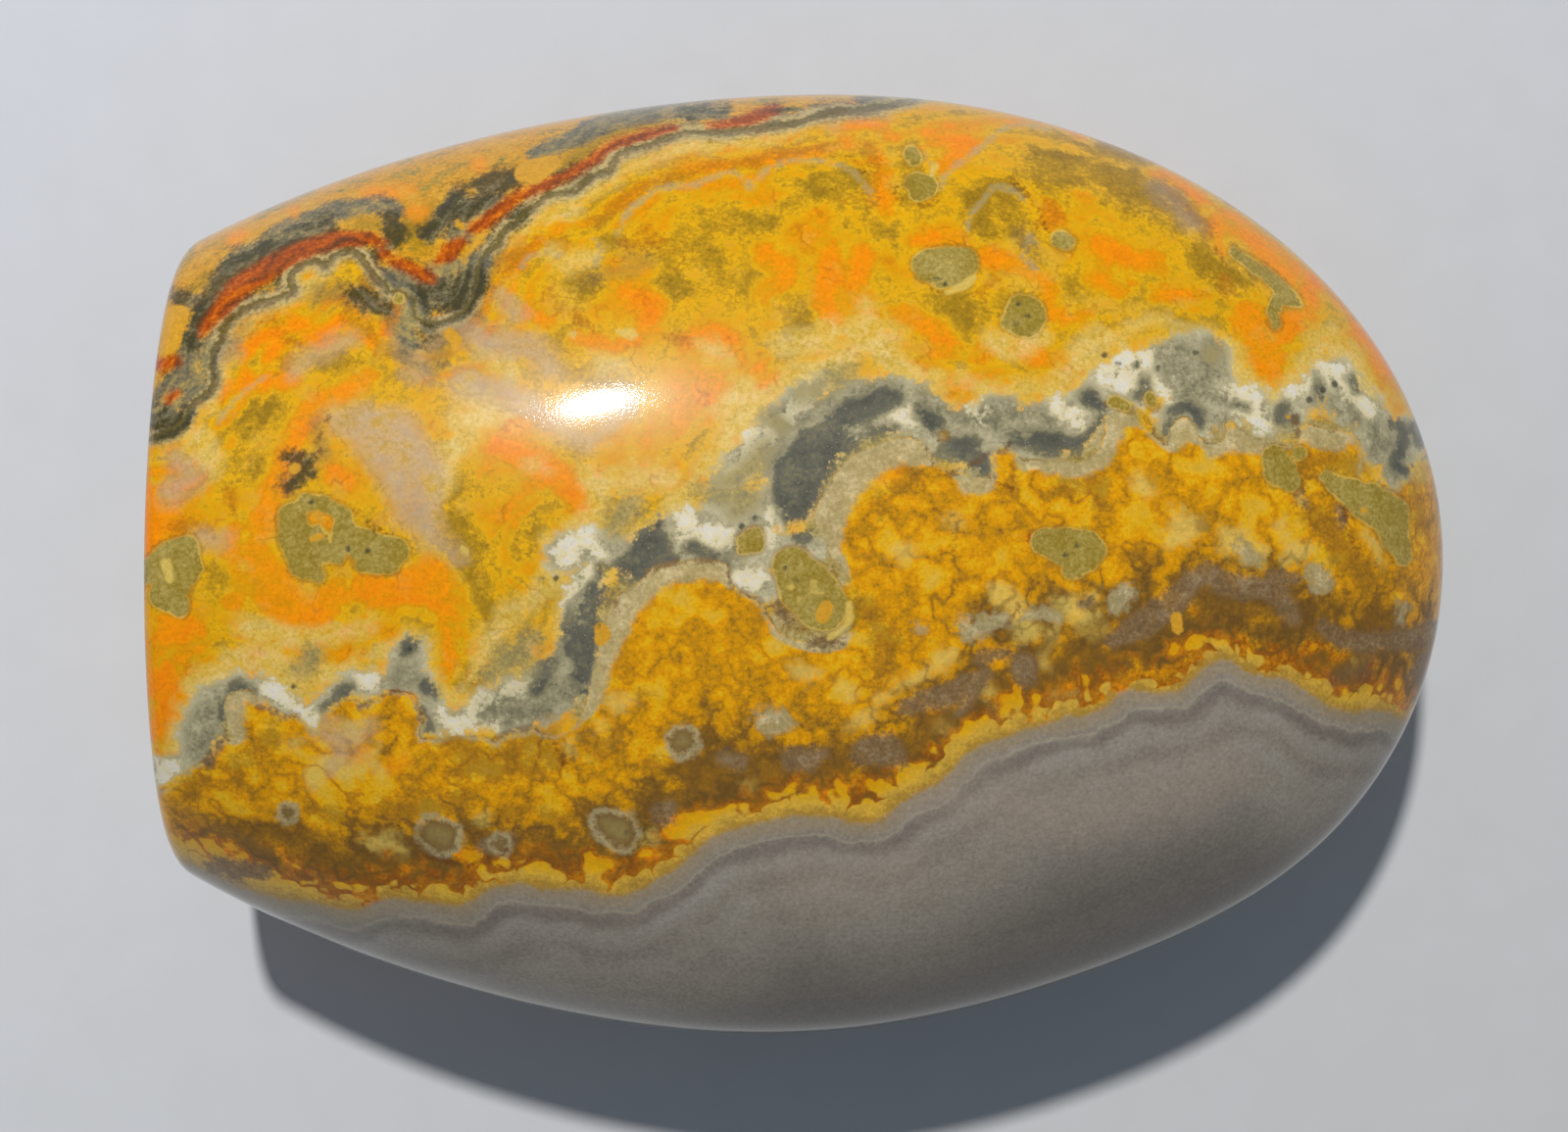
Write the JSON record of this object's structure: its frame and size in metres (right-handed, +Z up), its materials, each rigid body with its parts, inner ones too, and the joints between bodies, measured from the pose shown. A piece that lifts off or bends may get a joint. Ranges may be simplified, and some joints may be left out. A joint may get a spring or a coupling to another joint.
{
  "type": "polished bumblebee jasper freeform stone",
  "caption": "Polished ovoid of banded yellow, orange, black and grey bumblebee jasper, sawn flat at its blunt end, lying on its belly.",
  "frame": {"origin": "middle of the stone's box, at the height of the surface that it rests on", "axes": "+X along the length from the sawn end to the rounded nose, +Y across the width, +Z up through the thickness"},
  "size_m": [0.092, 0.0688, 0.0416],
  "materials": {
    "polished_jasper": "hand-polished, glossy, banded golden yellow, orange, olive, black and mauve-grey"
  },
  "bodies": {
    "root": {"stone": "polished_jasper"}
  },
  "joints": []
}
